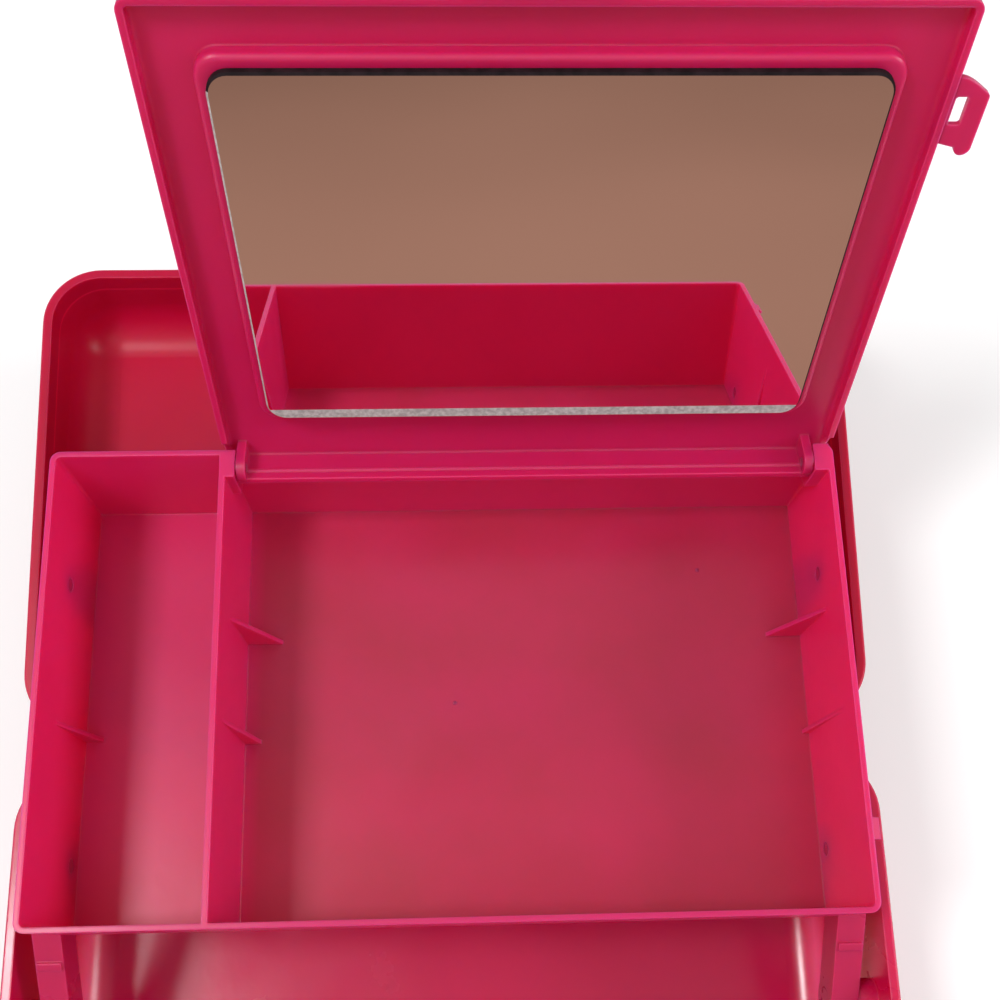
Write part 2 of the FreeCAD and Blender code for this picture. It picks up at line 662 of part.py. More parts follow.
# ---- mirror lid: modelled shut over the tray's right compartment, then opened ----
front_y = mirror_y - mirror_length
back_y = mirror_y + leaf_back
mrim_z = tray_rim_z + mirror_rim_gap
mtop_z = mrim_z + mirror_lid_high
mface_z = mtop_z - mirror_plate
cap = rounded_block(mirror_left_x, mirror_right_x, front_y, back_y, mirror_corner_r, mrim_z, mtop_z)
cap = cap.makeFillet(mirror_edge_r, edges_at(cap, mtop_z))
hollow = rounded_block(mirror_left_x + mirror_plate, mirror_right_x - mirror_plate, front_y + mirror_plate,
                       back_y - mirror_plate, mirror_corner_r - mirror_plate, mrim_z - 1, mface_z)
hollow = hollow.makeFillet(mirror_edge_r - mirror_plate, edges_at(hollow, mface_z))
plateau_z = mface_z - plateau_rise
p_front = mirror_y - plateau_far
p_back = mirror_y - plateau_near
plateau = rounded_block(plateau_left_x, plateau_right_x, p_front, p_back, plateau_corner_r, plateau_z, mface_z + 0.5)
plateau = plateau.makeFillet(1.2, edges_at(plateau, plateau_z))
recess = rounded_block(plateau_left_x + mirror_plate, plateau_right_x - mirror_plate, p_front + mirror_plate,
                       p_back - mirror_plate, plateau_corner_r - mirror_plate, plateau_z + mirror_plate, mtop_z + 1)
recess = recess.makeFillet(1.0, edges_at(recess, plateau_z + mirror_plate))
bump_mid = (bump_left_x + bump_right_x) / 2
bump_arc = Part.Arc(vec(bump_left_x, front_y + 0.4, mrim_z), vec(bump_mid, front_y - bump_proud, mrim_z),
                    vec(bump_right_x, front_y + 0.4, mrim_z)).toShape()
bump_chord = Part.LineSegment(vec(bump_right_x, front_y + 0.4, mrim_z), vec(bump_left_x, front_y + 0.4, mrim_z)).toShape()
bump = Part.Face(Part.Wire([bump_arc, bump_chord])).extrude(vec(0, 0, mirror_lid_high - mirror_edge_r))

leaf_left = gap_left + side_gap
leaf_right = gap_right - side_gap
leaf = box(leaf_left, leaf_right, back_y - leaf_thick, back_y, mirror_z - leaf_down, mface_z + 0.4)
bead = cyl_x(back_y - leaf_thick, mirror_z + leaf_bead_up, leaf_bead_r, leaf_left, leaf_right)


def pin_ear(x0, x1):
    upright = box(x0, x1, mirror_y - leaf_back, back_y, mirror_z, mface_z + 0.4)
    return fused(cyl_x(mirror_y, mirror_z, leaf_back, x0, x1), upright)


mirror_ears = [pin_ear(leaf_left, leaf_left + mirror_ear_thick), pin_ear(leaf_right - mirror_ear_thick, leaf_right)]
sweep_r = math.hypot(mirror_hinge_in, mirror_hinge_down) + 1.5
sweeps = [cyl_x(mirror_y, mirror_z, sweep_r, mirror_left_x - 1, leaf_left),
          cyl_x(mirror_y, mirror_z, sweep_r, leaf_right, mirror_right_x + 1)]
ear_bores = [cyl_x(mirror_y, mirror_z, mirror_pin_r + fixed_gap, leaf_left - 1, leaf_left + mirror_ear_thick + 1),
             cyl_x(mirror_y, mirror_z, mirror_pin_r + fixed_gap, leaf_right - mirror_ear_thick - 1, leaf_right + 1)]
mlid = cut(fused(cap, bump), hollow, *sweeps)
mlid = fused(mlid, plateau, leaf, bead, *mirror_ears)
mlid = cut(mlid, recess, *ear_bores)
keep("mirror_lid", open_mirror(mlid))

pin_l = cyl_x(mirror_y, mirror_z, mirror_pin_r, div_l + 0.4, leaf_left + mirror_ear_thick)
pin_r = cyl_x(mirror_y, mirror_z, mirror_pin_r, leaf_right - mirror_ear_thick, tray_half - tray_wall - 0.4)
keep("mirror_hinge_pins", open_mirror(Part.makeCompound([pin_l, pin_r])))

glass_top = plateau_z - tape_thick
glass_x0 = plateau_left_x + glass_side_in
glass_x1 = plateau_right_x - glass_side_in
glass_y0 = p_front + glass_side_in
glass_y1 = p_back - glass_side_in
glass = rounded_block(glass_x0, glass_x1, glass_y0, glass_y1, glass_corner_r, glass_top - glass_thick, glass_top)
glass = glass.makeChamfer(0.4, edges_at(glass, glass_top - glass_thick))
keep("mirror_glass", open_mirror(glass))

tapes = []
for y in (glass_y0 + tape_wide, glass_y1 - 2 * tape_wide):
    tapes.append(box(glass_x0 + tape_wide, glass_x1 - tape_wide, y, y + tape_wide, glass_top, plateau_z))
keep("mirror_tape", open_mirror(Part.makeCompound(tapes)))

# ---- clasp flap: folds down over the wedge on the tray's wall ----
clasp_axis_x = mirror_right_x + side_gap - 0.1
clasp_x0 = clasp_axis_x + 0.1
clasp_x1 = clasp_axis_x + clasp_reach + 0.1
clasp_z0 = clasp_axis_z + 0.1
clasp_mid = mirror_y - clasp_from_hinge
neck_y = clasp_mid - clasp_root_half
lobe_r = 1.9
heel_y = clasp_mid + clasp_root_half
lobe_c = vec(clasp_x1 - lobe_r, clasp_mid + clasp_root_half + 1.0, clasp_z0)
tip_y = clasp_mid - clasp_root_half + 4.2
curve = Part.BezierCurve()
curve.setPoles([vec(clasp_x0, neck_y, clasp_z0), vec(clasp_x0 + 2.6, neck_y + 0.2, clasp_z0),
                vec(clasp_x1 - 3.2, tip_y - 2.4, clasp_z0), vec(clasp_x1 - 0.6, tip_y - 0.6, clasp_z0)])
shoulder_arc = Part.BezierCurve()
shoulder_arc.setPoles([vec(clasp_x1 - 0.6, tip_y - 0.6, clasp_z0), vec(clasp_x1, tip_y - 0.2, clasp_z0),
                       vec(clasp_x1, tip_y + 0.6, clasp_z0)])
outline = [
    Part.LineSegment(vec(clasp_x0, heel_y, clasp_z0), vec(clasp_x0, neck_y, clasp_z0)).toShape(),
    curve.toShape(),
    shoulder_arc.toShape(),
    Part.LineSegment(vec(clasp_x1, tip_y + 0.6, clasp_z0), vec(clasp_x1, lobe_c.y, clasp_z0)).toShape(),
    Part.Arc(vec(clasp_x1, lobe_c.y, clasp_z0), vec(lobe_c.x, lobe_c.y + lobe_r, clasp_z0),
             vec(lobe_c.x - lobe_r, lobe_c.y, clasp_z0)).toShape(),
    Part.LineSegment(vec(lobe_c.x - lobe_r, lobe_c.y, clasp_z0), vec(clasp_x0, heel_y, clasp_z0)).toShape(),
]
flap = Part.Face(Part.Wire(outline)).extrude(vec(0, 0, clasp_thick))
lip = rounded_block(clasp_x1 - clasp_lip, clasp_x1, tip_y + 0.8, lobe_c.y + lobe_r * 0.6, 0.8,
                    clasp_z0 + clasp_thick * 0.5, clasp_z0 + clasp_thick + clasp_lip_rise)
slot = rounded_block(clasp_axis_x + clasp_slot_from, clasp_axis_x + clasp_slot_from + clasp_slot_wide,
                     clasp_mid - clasp_slot_long / 2, clasp_mid + clasp_slot_long / 2, clasp_slot_corner_r,
                     clasp_z0 - 1, clasp_z0 + clasp_thick + 1)
clasp = cut(fused(flap, lip), slot)
keep("mirror_lid_clasp", open_mirror(clasp))

# ---- front latches, hanging from their lugs ----
up_in = catch_tip - 0.4 - latch_y
up_out = up_in - latch_plate
hook_low = catch_top + 0.3 - latch_z
hook_top = hook_low + latch_hook_thick
hook_tip = up_in + 0.4 + latch_hook_over
lip_top = hook_top + latch_lip
profile_up = [(up_in, -0.5), (up_in, hook_low), (hook_tip, hook_low), (hook_tip - 0.4, hook_top),
              (up_in - 0.6, hook_top), (up_out - 1.6, lip_top), (up_out - 3.0, lip_top - 0.8),
              (up_out, hook_low - 2.0), (up_out, -0.5)]


def latch(x):
    """Modelled hanging: the raised profile turned half a turn about its pin."""
    plate = prism_x([(latch_y - a, latch_z - b) for a, b in profile_up], x - latch_half, x + latch_half)
    barrel = cyl_x(latch_y, latch_z, latch_barrel_r, x - latch_half, x + latch_half)
    bore = cyl_x(latch_y, latch_z, latch_pin_r + run_gap, x - latch_half - 1, x + latch_half + 1)
    return cut(fused(plate, barrel), bore)


keep("latch_left", latch(-latch_x))
keep("latch_right", latch(latch_x))


def latch_pin(x):
    reach = latch_half + side_gap + latch_lug
    return cyl_x(latch_y, latch_z, latch_pin_r, x - reach, x + reach)


keep("latch_pins", Part.makeCompound([latch_pin(-latch_x), latch_pin(latch_x)]))
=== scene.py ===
import bpy, bmesh, math, json
from mathutils import Vector, Matrix


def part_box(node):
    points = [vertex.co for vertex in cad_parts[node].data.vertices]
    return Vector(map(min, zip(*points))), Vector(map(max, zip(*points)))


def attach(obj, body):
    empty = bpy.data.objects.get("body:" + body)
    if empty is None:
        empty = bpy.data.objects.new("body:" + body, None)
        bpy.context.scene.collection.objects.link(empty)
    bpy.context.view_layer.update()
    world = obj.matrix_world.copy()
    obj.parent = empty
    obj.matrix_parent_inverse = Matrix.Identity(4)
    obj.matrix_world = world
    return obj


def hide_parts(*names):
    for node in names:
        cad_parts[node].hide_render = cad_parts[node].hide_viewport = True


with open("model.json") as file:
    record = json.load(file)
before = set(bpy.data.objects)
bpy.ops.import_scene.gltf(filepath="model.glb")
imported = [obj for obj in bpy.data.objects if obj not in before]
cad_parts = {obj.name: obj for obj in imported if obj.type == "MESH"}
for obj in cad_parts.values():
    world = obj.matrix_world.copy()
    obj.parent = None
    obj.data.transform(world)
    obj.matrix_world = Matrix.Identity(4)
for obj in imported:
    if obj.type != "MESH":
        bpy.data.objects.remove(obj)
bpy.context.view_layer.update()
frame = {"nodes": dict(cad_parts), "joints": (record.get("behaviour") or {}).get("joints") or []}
scene = bpy.context.scene
scene.view_settings.view_transform = "Standard"

# Viewpoint
# The eye stands just behind the case's front wall and looks steeply down into it,
# a little turned and rolled, at the height from which all three levels overlap.
eye_at = Vector((0.00276, 0.01047, 0.41799))
looks_at = Vector((0.01767, 0.12621, 0))
head_tilt = math.radians(6.11)
eye = bpy.data.objects.new("eye", bpy.data.cameras.new("eye"))
gaze = (looks_at - eye_at).to_track_quat("-Z", "Y").to_matrix().to_4x4()
eye.matrix_world = Matrix.Translation(eye_at) @ gaze @ Matrix.Rotation(head_tilt, 4, "Z")
eye.data.sensor_width = 36.0
eye.data.sensor_fit = "HORIZONTAL"
eye.data.lens = 43.14
eye.data.shift_y = 0.15
eye.data.clip_start = 0.01
scene.collection.objects.link(eye)
scene.camera = eye


# Floor
# A wide sheet of matt white paper under the base and under the handle of the opened lid.
# The paper keeps the case's shadow and glows a little to the eye, so that it reads as white.
def sheet_on_floor(name, half_x, half_y, middle_y, height):
    """Lay a flat sheet on the floor."""
    sheet = bmesh.new()
    bmesh.ops.create_grid(sheet, x_segments=1, y_segments=1, size=1.0)
    bmesh.ops.scale(sheet, verts=sheet.verts, vec=(half_x, half_y, 1))
    bmesh.ops.translate(sheet, verts=sheet.verts, vec=(0, middle_y, height))
    data = bpy.data.meshes.new(name)
    sheet.to_mesh(data)
    sheet.free()
    laid = bpy.data.objects.new(name, data)
    scene.collection.objects.link(laid)
    return laid


def new_finish(name):
    """Start a finish: its material, its node tree, its shader and where its patterns sit."""
    mat = bpy.data.materials.new(name)
    mat.use_nodes = True
    tree = mat.node_tree
    return mat, tree, tree.nodes["Principled BSDF"], tree.nodes.new("ShaderNodeTexCoord")


def clouds(tree, place, per_metre, detail=2.0, stir=0.0):
    """Soft random mottling over a piece."""
    noise = tree.nodes.new("ShaderNodeTexNoise")
    noise.inputs["Scale"].default_value = per_metre
    noise.inputs["Detail"].default_value = detail
    noise.inputs["Distortion"].default_value = stir
    tree.links.new(place.outputs["Object"], noise.inputs["Vector"])
    return noise.outputs["Fac"]


def raise_skin(tree, bsdf, height, strength, depth, over=None):
    """Raise and sink a surface's skin by a pattern, on top of the skin that it already has."""
    bump = tree.nodes.new("ShaderNodeBump")
    bump.inputs["Strength"].default_value = strength
    bump.inputs["Distance"].default_value = depth
    tree.links.new(height, bump.inputs["Height"])
    if over is not None:
        tree.links.new(over, bump.inputs["Normal"])
    tree.links.new(bump.outputs["Normal"], bsdf.inputs["Normal"])


def times(tree, first, second):
    """Multiply a value by another, or by a plain number."""
    product = tree.nodes.new("ShaderNodeMath")
    product.operation = "MULTIPLY"
    tree.links.new(first, product.inputs[0])
    if isinstance(second, float):
        product.inputs[1].default_value = second
    else:
        tree.links.new(second, product.inputs[1])
    return product.outputs["Value"]


paper_reach = 4.0
paper_gap = 0.0004
floor = sheet_on_floor("floor", paper_reach, paper_reach, 0, -paper_gap)
paper, tree, bsdf, place = new_finish("white_paper")
raise_skin(tree, bsdf, clouds(tree, place, 900.0), 0.05, 0.0001)
bsdf.inputs["Base Color"].default_value = (0.88, 0.88, 0.88, 1)
bsdf.inputs["Roughness"].default_value = 0.9
bsdf.inputs["Emission Color"].default_value = (1, 1, 1, 1)
path = tree.nodes.new("ShaderNodeLightPath")
glow_to_eye = times(tree, path.outputs["Is Camera Ray"], 0.22)
tree.links.new(glow_to_eye, bsdf.inputs["Emission Strength"])
floor.data.materials.append(paper)

# Lamps
# Two soft square panels stand high on either side of the case and a weak one before it,
# all turned to the middle of the open case.
middle_of_case = Vector((0, 0.08, 0.06))
for lamp_name, spot, power, width in (("left_panel", (-0.64, -0.03, 1.30), 9.0, 0.28),
                                      ("right_panel", (1.35, 0.0, 0.95), 8.8, 0.5),
                                      ("front_panel", (0.15, -0.60, 1.30), 1.1, 0.7)):
    panel = bpy.data.lights.new(lamp_name, "AREA")
    panel.shape = "SQUARE"
    panel.size = width
    panel.energy = power
    lamp = bpy.data.objects.new(lamp_name, panel)
    lamp.location = spot
    lamp.rotation_euler = (middle_of_case - lamp.location).to_track_quat("-Z", "Y").to_euler()
    scene.collection.objects.link(lamp)


# Room
# Its pale walls send back a light that is stronger from above and in front.
# To the eye, what lies beyond the paper is plain white.
def rescale(tree, value, start, end, to_start=0.0, to_end=1.0):
    """Map a value's stretch from start to end onto another, and hold it there at both ends."""
    span = tree.nodes.new("ShaderNodeMapRange")
    span.inputs["From Min"].default_value = start
    span.inputs["From Max"].default_value = end
    span.inputs["To Min"].default_value = to_start
    span.inputs["To Max"].default_value = to_end
    tree.links.new(value, span.inputs["Value"])
    return span.outputs["Result"]


def along(tree, vector, direction):
    """How far a vector goes in one direction."""
    dot = tree.nodes.new("ShaderNodeVectorMath")
    dot.operation = "DOT_PRODUCT"
    dot.inputs[1].default_value = direction
    tree.links.new(vector, dot.inputs[0])
    return dot.outputs["Value"]


scene.world = scene.world or bpy.data.worlds.new("room")
scene.world.use_nodes = True
tree = scene.world.node_tree
room = tree.nodes["Background"]
room.inputs["Color"].default_value = (1, 1, 1, 1)
look = tree.nodes.new("ShaderNodeTexCoord")
brightest_way = (0.0, -0.5, 0.866)
toward = along(tree, look.outputs["Generated"], brightest_way)
tree.links.new(rescale(tree, toward, -0.2, 0.95, 0.2, 0.58), room.inputs["Strength"])
beyond = tree.nodes.new("ShaderNodeBackground")
beyond.inputs["Strength"].default_value = 1.0
path = tree.nodes.new("ShaderNodeLightPath")
pick = tree.nodes.new("ShaderNodeMixShader")
tree.links.new(path.outputs["Is Camera Ray"], pick.inputs["Fac"])
tree.links.new(room.outputs["Background"], pick.inputs[1])
tree.links.new(beyond.outputs["Background"], pick.inputs[2])
tree.links.new(pick.outputs["Shader"], tree.nodes["World Output"].inputs["Surface"])


# Carpet in front of the case
# Beige cloth on the floor before the case. It is left to reflections alone, so the mirror
# shows a warm room while the paper stays white.
def shaded(tree, value, *stops):
    """Colours at places along a value's range, and even steps between them."""
    ramp = tree.nodes.new("ShaderNodeValToRGB")
    points = ramp.color_ramp.elements
    for point, (position, colour) in zip(points, (stops[0], stops[-1])):
        point.position = position
        point.color = colour
    for position, colour in stops[1:-1]:
        points.new(position).color = colour
    tree.links.new(value, ramp.inputs["Fac"])
    return ramp.outputs["Color"]


cloth_half_width = 3.0
cloth_half_depth = 1.96
cloth_middle = -2.06
cloth_thick = 0.001
carpet = sheet_on_floor("beige_cloth", cloth_half_width, cloth_half_depth, cloth_middle, cloth_thick)
carpet.visible_camera = False
carpet.visible_diffuse = False
carpet.visible_shadow = False
carpet.visible_transmission = False
beige, tree, bsdf, place = new_finish("beige_cloth")
tree.links.new(shaded(tree, clouds(tree, place, 1.4), (0.3, (0.315, 0.156, 0.111, 1)),
                      (0.7, (0.395, 0.195, 0.140, 1))), bsdf.inputs["Base Color"])
bsdf.inputs["Roughness"].default_value = 1.0
bsdf.inputs["Specular IOR Level"].default_value = 0.0
carpet.data.materials.append(beige)


# Base tub
# One injection moulding in polypropylene, tinted magenta and a little clear, with its hinge
# knuckles, latch lugs and arm bosses moulded on. Inside, where the floor turns up into the
# walls, a paler pink is painted on as a highlight of the light glinting on those curves.
def mixed(tree, amount, under, over):
    """Lay one colour over another by an amount from 0 to 1."""
    mix = tree.nodes.new("ShaderNodeMixRGB")
    mix.inputs["Color2"].default_value = (*over, 1)
    tree.links.new(amount, mix.inputs["Fac"])
    tree.links.new(under, mix.inputs["Color1"])
    return mix.outputs["Color"]


def over_colour(tree, bsdf, amount, colour):
    """Lay a colour over the finish's own by an amount from 0 to 1."""
    own = bsdf.inputs["Base Color"].links[0].from_socket
    tree.links.new(mixed(tree, amount, own, colour), bsdf.inputs["Base Color"])


def moulded_pink(name, tint, rough, clear, flow_size):
    """Tinted polypropylene: flow marks in its colour, pale edges that are partly wear and partly painted
    highlight, and a finely rippled skin.
    """
    mat, tree, bsdf, place = new_finish(name)
    red, green, blue = tint
    starved = (red * 0.90, green * 0.75, blue * 0.85, 1)
    flow = shaded(tree, clouds(tree, place, flow_size, 4.0, 0.6), (0.3, starved), (0.7, (*tint, 1)))

    rounded = tree.nodes.new("ShaderNodeBevel")
    rounded.samples = 4
    rounded.inputs["Radius"].default_value = 0.0007
    facing = tree.nodes.new("ShaderNodeNewGeometry")
    agree = tree.nodes.new("ShaderNodeVectorMath")
    agree.operation = "DOT_PRODUCT"
    tree.links.new(rounded.outputs["Normal"], agree.inputs[0])
    tree.links.new(facing.outputs["Normal"], agree.inputs[1])
    # Pale edges: partly wear, partly a painted highlight where light catches the rounded edges.
    worn_and_lit_edge = rescale(tree, agree.outputs["Value"], 0.995, 0.86, 0.0, 0.30)
    tree.links.new(mixed(tree, worn_and_lit_edge, flow, (0.80, 0.12, 0.24)), bsdf.inputs["Base Color"])

    rub = clouds(tree, place, 38.0, 5.0)
    tree.links.new(rescale(tree, rub, 0.35, 0.75, rough - 0.03, rough + 0.06), bsdf.inputs["Roughness"])
    ripple = clouds(tree, place, 260.0, 3.0)
    raise_skin(tree, bsdf, ripple, 0.12, 0.0002, rounded.outputs["Normal"])

    bsdf.inputs["IOR"].default_value = 1.49
    bsdf.inputs["Subsurface Weight"].default_value = clear
    bsdf.inputs["Subsurface Radius"].default_value = (1.0, 0.14, 0.42)
    bsdf.inputs["Subsurface Scale"].default_value = 0.006
    return mat


def split(tree, vector):
    """The x, y and z of a vector."""
    parts = tree.nodes.new("ShaderNodeSeparateXYZ")
    tree.links.new(vector, parts.inputs["Vector"])
    return parts.outputs


def give(node, mat):
    """Put one finish on a whole CAD node."""
    slots = frame["nodes"][node].data.materials
    slots.clear()
    slots.append(mat)


black = (0, 0, 0, 1)
white = (1, 1, 1, 1)
shell_pink = moulded_pink("magenta_polypropylene_base", (0.62, 0.006, 0.088), 0.24, 0.9, 11.0)
tree = shell_pink.node_tree
bsdf = tree.nodes["Principled BSDF"]
place = tree.nodes.new("ShaderNodeTexCoord")
slant = split(tree, place.outputs["Normal"])["Z"]
# Painted highlight: a paler pink on the curve where the floor turns up into the walls, low in the tub.
fillet_highlight_band = shaded(tree, slant, (0.10, black), (0.65, white), (0.97, black))
near_floor = rescale(tree, split(tree, place.outputs["Object"])["Z"], 0.024, 0.014)
over_colour(tree, bsdf, times(tree, fillet_highlight_band, near_floor), (0.95, 0.13, 0.30))
give("base_tub", shell_pink)


# Lid shell
# The top half of the case in the same plastic, lying open behind the base. Its tint is painted
# darker and less blue than the base's, as the shade the open lid lies in. Inside, a pale line is
# painted round its wall below the rim, as the highlight of a low step there.
def swung(joint_name):
    """Turn from a leaf's shut place, where it is drawn, to its open place."""
    joint = {each["name"]: each for each in frame["joints"]}[joint_name]
    pivot = Matrix.Translation(joint["pos_m"])
    turn = Matrix.Rotation(-math.radians(joint["range_deg"][1]), 4, "X")
    return pivot @ turn @ pivot.inverted()


opened = swung("lid_hinge")
lid_rim = 0.0624
step_below_rim = 0.0070
step_reach = 0.0035
# Painted shade: the lid's tint is darker and less blue than the base's, for the shade it lies in.
lid_pink_shaded = moulded_pink("magenta_polypropylene_lid_shaded", (0.56, 0.003, 0.055), 0.36, 0.9, 11.0)
tree = lid_pink_shaded.node_tree
bsdf = tree.nodes["Principled BSDF"]
bsdf.inputs["Specular IOR Level"].default_value = 0.3
lid_axis = opened.to_3x3() @ Vector((0, 0, 1))
step_at = (opened @ Vector((0, 0, lid_rim + step_below_rim))).dot(lid_axis)
place = tree.nodes.new("ShaderNodeTexCoord")
depth = along(tree, place.outputs["Object"], lid_axis)
across = rescale(tree, depth, step_at - step_reach, step_at + step_reach)
# Painted highlight: a pale line round the inner wall, where a low step would catch the light.
step_highlight = shaded(tree, across, (0.40, black), (0.50, white), (0.60, black))
over_colour(tree, bsdf, times(tree, step_highlight, 0.6), (0.85, 0.02, 0.12))
give("lid_shell", lid_pink_shaded)

# Tray
# A thinner moulding with a divider, fins and pivot bosses. Its walls let light through, its
# wide floor is painted darker and a little unevenly as shade, and its gates have left two small nubs on it.
tray_pink = moulded_pink("magenta_polypropylene_tray", (0.74, 0.018, 0.158), 0.32, 1.0, 16.0)
tree = tray_pink.node_tree
bsdf = tree.nodes["Principled BSDF"]
place = tree.nodes.new("ShaderNodeTexCoord")
where = split(tree, place.outputs["Object"])
level = rescale(tree, split(tree, place.outputs["Normal"])["Z"], 0.7, 0.95)
wide_side = rescale(tree, where["X"], -0.0620, -0.0560)
low_down = rescale(tree, where["Z"], 0.0740, 0.0690)
# Painted shade: the wide floor is made darker and less blue, a little unevenly.
wide_floor_shade = rescale(tree, clouds(tree, place, 30.0, 5.0), 0.3, 0.7, 0.65, 0.95)
for mask in (level, wide_side, low_down):
    wide_floor_shade = times(tree, wide_floor_shade, mask)
over_colour(tree, bsdf, wide_floor_shade, (0.45, 0.020, 0.066))
give("tray", tray_pink)


def turned(shape, half_outline, place):
    """Add a lathe-turned form to a bmesh: an outline of radius and height in millimetres, spun
    round its axis, then put in place."""
    fresh = bmesh.new()
    rim = [fresh.verts.new((r / 1000, 0, h / 1000)) for r, h in half_outline]
    for a, b in zip(rim, rim[1:]):
        fresh.edges.new((a, b))
    bmesh.ops.spin(fresh, geom=fresh.verts[:] + fresh.edges[:], cent=(0, 0, 0), axis=(0, 0, 1),
                   angle=math.tau, steps=32, use_merge=True, use_duplicate=False)
    bmesh.ops.remove_doubles(fresh, verts=fresh.verts, dist=1e-6)
    bmesh.ops.recalc_face_normals(fresh, faces=fresh.faces)
    bmesh.ops.transform(fresh, matrix=place, verts=fresh.verts)
    part = bpy.data.meshes.new("turned")
    fresh.to_mesh(part)
    fresh.free()
    shape.from_mesh(part)
    bpy.data.meshes.remove(part)


def finished(name, shape, mats, body, smooth=True):
    """Make a named piece of a bmesh, with its finishes, riding on a body."""
    for face in shape.faces:
        face.smooth = smooth
    data = bpy.data.meshes.new(name)
    shape.to_mesh(data)
    shape.free()
    for mat in mats:
        data.materials.append(mat)
    piece = bpy.data.objects.new(name, data)
    scene.collection.objects.link(piece)
    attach(piece, body)
    return piece


floor_thick = 0.0016
tray_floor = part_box("tray")[0].z + floor_thick
nub_outline = ((0, 0.35), (0.35, 0.3), (0.6, 0.1), (0.65, -0.3), (0, -0.3))
nubs = bmesh.new()
for x, y in ((0.0014, 0.0913), (0.0772, 0.1322)):
    turned(nubs, nub_outline, Matrix.Translation((x, y, tray_floor)))
gate_nubs = finished("tray_gate_nubs", nubs, [tray_pink], "tray")

# Mirror lid and clasp
# The frame round the mirror, with a raised border, and the small snap flap on its right edge,
# all moulded together in the same plastic.
frame_pink = moulded_pink("magenta_polypropylene_mirror_lid", (0.57, 0.012, 0.112), 0.32, 0.9, 13.0)
give("mirror_lid", frame_pink)
give("mirror_lid_clasp", frame_pink)

# Mirror
# Float glass, silvered behind and held by foam tape, with ground edges and black backing lacquer
# on its back. A strip along its hinge end is painted pale as a highlight of the bright edge seen
# through the glass, and its free and right edges are painted black as the shade of the gap round it.
raised = swung("mirror_lid_hinge")
drawn = [raised.inverted() @ v.co for v in frame["nodes"]["mirror_glass"].data.vertices]
near = Vector([min(p[i] for p in drawn) for i in range(3)])
far = Vector([max(p[i] for p in drawn) for i in range(3)])
corner_radius = 0.005
rim_bevel = 0.0005
# Width of the strip at the hinge end painted pale, as the bright edge seen through the glass.
pale_strip = 0.0034
strip_starts = far.y - pale_strip
pane = bmesh.new()
bmesh.ops.create_cube(pane, size=1.0)
bmesh.ops.scale(pane, verts=pane.verts, vec=far - near)
bmesh.ops.translate(pane, verts=pane.verts, vec=(near + far) / 2)
corners = [e for e in pane.edges if abs(e.verts[0].co.z - e.verts[1].co.z) > 0.001]
bmesh.ops.bevel(pane, geom=corners, offset=corner_radius, segments=8, profile=0.5,
                affect="EDGES", material=-1)
face_rim = [e for e in pane.edges if max(v.co.z for v in e.verts) < near.z + 1e-6]
bmesh.ops.bevel(pane, geom=face_rim, offset=rim_bevel, segments=1, profile=0.5,
                affect="EDGES", material=-1)
bmesh.ops.bisect_plane(pane, geom=pane.verts[:] + pane.edges[:] + pane.faces[:],
                       plane_co=(0, strip_starts, 0), plane_no=(0, 1, 0))
bmesh.ops.recalc_face_normals(pane, faces=pane.faces)
silvered, ground, lacquer_and_shade = range(3)
# Painted highlight and shade: the hinge-end strip of the face takes the pale ground-edge grey, and the free
# and right edges take the black lacquer as shade.
for face in pane.faces:
    if face.normal.z < -0.99:
        face.material_index = ground if face.calc_center_median().y > strip_starts else silvered
    elif face.normal.z > 0.99 or face.normal.y < -0.2 or face.normal.x > 0.35:
        face.material_index = lacquer_and_shade
    else:
        face.material_index = ground
bmesh.ops.transform(pane, matrix=raised, verts=pane.verts)

silver, tree, bsdf, place = new_finish("silvered_glass")
haze = clouds(tree, place, 22.0, 6.0)
tree.links.new(rescale(tree, haze, 0.45, 0.8, 0.012, 0.06), bsdf.inputs["Roughness"])
tree.links.new(shaded(tree, haze, (0.0, (0.86, 0.88, 0.87, 1)), (1.0, (0.90, 0.91, 0.90, 1))),
               bsdf.inputs["Base Color"])
bsdf.inputs["Metallic"].default_value = 1.0


def speckled(name, dark, light, rough, grain, metal=0.0):
    """A plain finish with fine grain in its colour and in its skin."""
    mat, tree, bsdf, place = new_finish(name)
    specks = clouds(tree, place, grain, 3.0)
    tree.links.new(shaded(tree, specks, (0.35, (*dark, 1)), (0.65, (*light, 1))), bsdf.inputs["Base Color"])
    raise_skin(tree, bsdf, specks, 0.3, 0.0001)
    bsdf.inputs["Roughness"].default_value = rough
    bsdf.inputs["Metallic"].default_value = metal
    return mat


ground_edge = speckled("ground_glass_edge", (0.36, 0.36, 0.35), (0.56, 0.57, 0.55), 0.25, 900.0)
lacquer_and_edge_shade = speckled("backing_lacquer_and_edge_shade", (0.006, 0.003, 0.004), (0.018, 0.009, 0.012), 0.75, 400.0)
lacquer_and_edge_shade.node_tree.nodes["Principled BSDF"].inputs["Specular IOR Level"].default_value = 0.15
mirror = finished("mirror", pane, [silver, ground_edge, lacquer_and_edge_shade], "mirror_lid", smooth=False)
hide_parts("mirror_glass")

# Foam tape
# Two strips of white double-sided foam, pressed into the recess behind the mirror. Only their
# edges could ever be seen, so they keep the CAD's shape and get an open-celled white.
give("mirror_tape", speckled("foam_tape", (0.62, 0.62, 0.58), (0.84, 0.84, 0.80), 0.85, 1400.0))

# Swing arms and ears
# Channel bars between the base and the tray, and riveted lugs between the lid and the tray,
# in the same plastic but moulded thicker, with the snap pins that they turn on.
arm_pink = moulded_pink("magenta_polypropylene_fittings", (0.60, 0.009, 0.100), 0.28, 0.8, 24.0)
for node in ("arm_left", "arm_right", "arm_base_pins", "arm_tray_pins",
             "ear_left", "ear_right", "ear_tray_pins"):
    give(node, arm_pink)

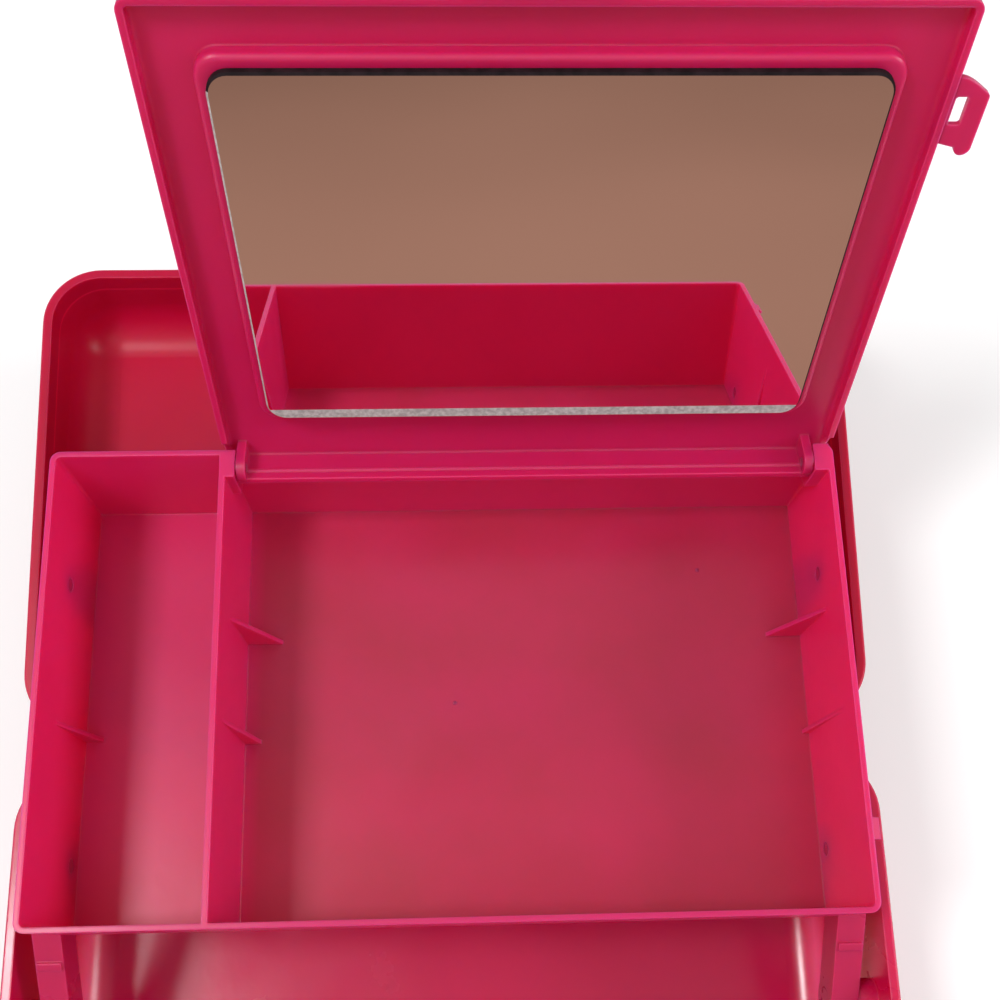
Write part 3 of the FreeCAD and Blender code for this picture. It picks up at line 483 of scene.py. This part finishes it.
# Ear rivets
# Four tubular steel rivets, zinc plated. They hold the ears to the lid's floor, and each has a
# low dome on both sides.
steel = speckled("zinc_plated_steel", (0.42, 0.42, 0.44), (0.66, 0.66, 0.68), 0.32, 700.0, metal=1.0)
lid_ceiling = 0.0922
ear_foot = 0.0022
rivet_out = 0.104
rivet_middle = 0.03593
rivet_spread = 0.008
domed_rivet = ((0, -0.35), (0.8, -0.40), (1.0, -0.80), (1.5, -1.0), (2.3, -0.80), (2.85, -0.35), (3.0, 0),
               (1.6, 0), (1.6, 4.4), (3.0, 4.4), (2.8, 4.85), (2.0, 5.2), (1.0, 5.35), (0, 5.4))
rivets = bmesh.new()
for x in (-rivet_out, rivet_out):
    for y in (rivet_middle - rivet_spread, rivet_middle + rivet_spread):
        turned(rivets, domed_rivet, opened @ Matrix.Translation((x, y, lid_ceiling - ear_foot)))
ear_rivets = finished("ear_rivets_domed", rivets, [steel], "lid")
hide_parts("ear_rivets")

# Handle screws
# Pan-head steel screws with a cross recess, driven from inside the lid into the handle's
# pillars.
screw_out = 0.067
pan_head_screw = ((0, -1.75), (1.4, -1.70), (2.6, -1.40), (3.3, -0.80), (3.5, -0.10), (3.4, 0),
                  (1.75, 0), (1.75, 7.4), (0.6, 8.4), (0, 8.4))
cross_long = 0.0036
cross_wide = 0.0007
cross_deep = 0.0020
cross_middle = 0.0016
screws = bmesh.new()
cross = bmesh.new()
for x in (-screw_out, screw_out):
    seat = opened @ Matrix.Translation((x, 0, lid_ceiling))
    turned(screws, pan_head_screw, seat)
    for bar in ((cross_long, cross_wide, cross_deep), (cross_wide, cross_long, cross_deep)):
        slot_form = bmesh.ops.create_cube(cross, size=1.0)["verts"]
        bmesh.ops.scale(cross, verts=slot_form, vec=bar)
        bmesh.ops.transform(cross, matrix=seat @ Matrix.Translation((0, 0, -cross_middle)), verts=slot_form)
pan_heads = finished("handle_screws_cross_head", screws, [steel], "lid")
cutter = finished("cross_recess", cross, [], "lid")
recess = pan_heads.modifiers.new("cross recess", "BOOLEAN")
recess.operation = "DIFFERENCE"
recess.solver = "EXACT"
recess.use_self = True
recess.object = cutter
bpy.context.view_layer.update()
sunk = bpy.data.meshes.new_from_object(pan_heads.evaluated_get(bpy.context.evaluated_depsgraph_get()))
pan_heads.modifiers.clear()
pan_heads.data = sunk
bpy.data.objects.remove(cutter)
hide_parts("handle_screws")

# Carry handle
# A thick arched grip in solid magenta, with a fine leather-like grain so that it doesn't slip.
# It is screwed to the lid through its two feet.
handle_pink = moulded_pink("magenta_polypropylene_handle", (0.55, 0.008, 0.085), 0.42, 0.5, 18.0)
tree = handle_pink.node_tree
bsdf = tree.nodes["Principled BSDF"]
place = tree.nodes.new("ShaderNodeTexCoord")
hide = tree.nodes.new("ShaderNodeTexVoronoi")
hide.inputs["Scale"].default_value = 900.0
tree.links.new(place.outputs["Object"], hide.inputs["Vector"])
rippled = bsdf.inputs["Normal"].links[0].from_socket
raise_skin(tree, bsdf, hide.outputs["Distance"], 0.35, 0.0002, rippled)
give("carry_handle", handle_pink)

# Front latches
# Two snap latches on the base's front wall, in the same plastic as the arms. They hang from
# their pins while the case is open.
for node in ("latch_left", "latch_right"):
    give(node, arm_pink)

# Hinge and latch pins
# Straight lengths of bright drawn steel wire, pushed into the knuckles and lugs. The die has
# left fine lines along them.
wire, tree, bsdf, place = new_finish("drawn_steel_wire")
lengthwise = tree.nodes.new("ShaderNodeMapping")
lengthwise.inputs["Scale"].default_value = (40.0, 2600.0, 2600.0)
tree.links.new(place.outputs["Object"], lengthwise.inputs["Vector"])
die_lines = tree.nodes.new("ShaderNodeTexNoise")
die_lines.inputs["Scale"].default_value = 1.0
tree.links.new(lengthwise.outputs["Vector"], die_lines.inputs["Vector"])
lines = die_lines.outputs["Fac"]
tree.links.new(shaded(tree, lines, (0.0, (0.50, 0.50, 0.52, 1)), (1.0, (0.70, 0.70, 0.72, 1))),
               bsdf.inputs["Base Color"])
tree.links.new(rescale(tree, lines, 0.0, 1.0, 0.22, 0.38), bsdf.inputs["Roughness"])
bsdf.inputs["Metallic"].default_value = 1.0
for node in ("case_hinge_pins", "latch_pins", "mirror_hinge_pins"):
    give(node, wire)
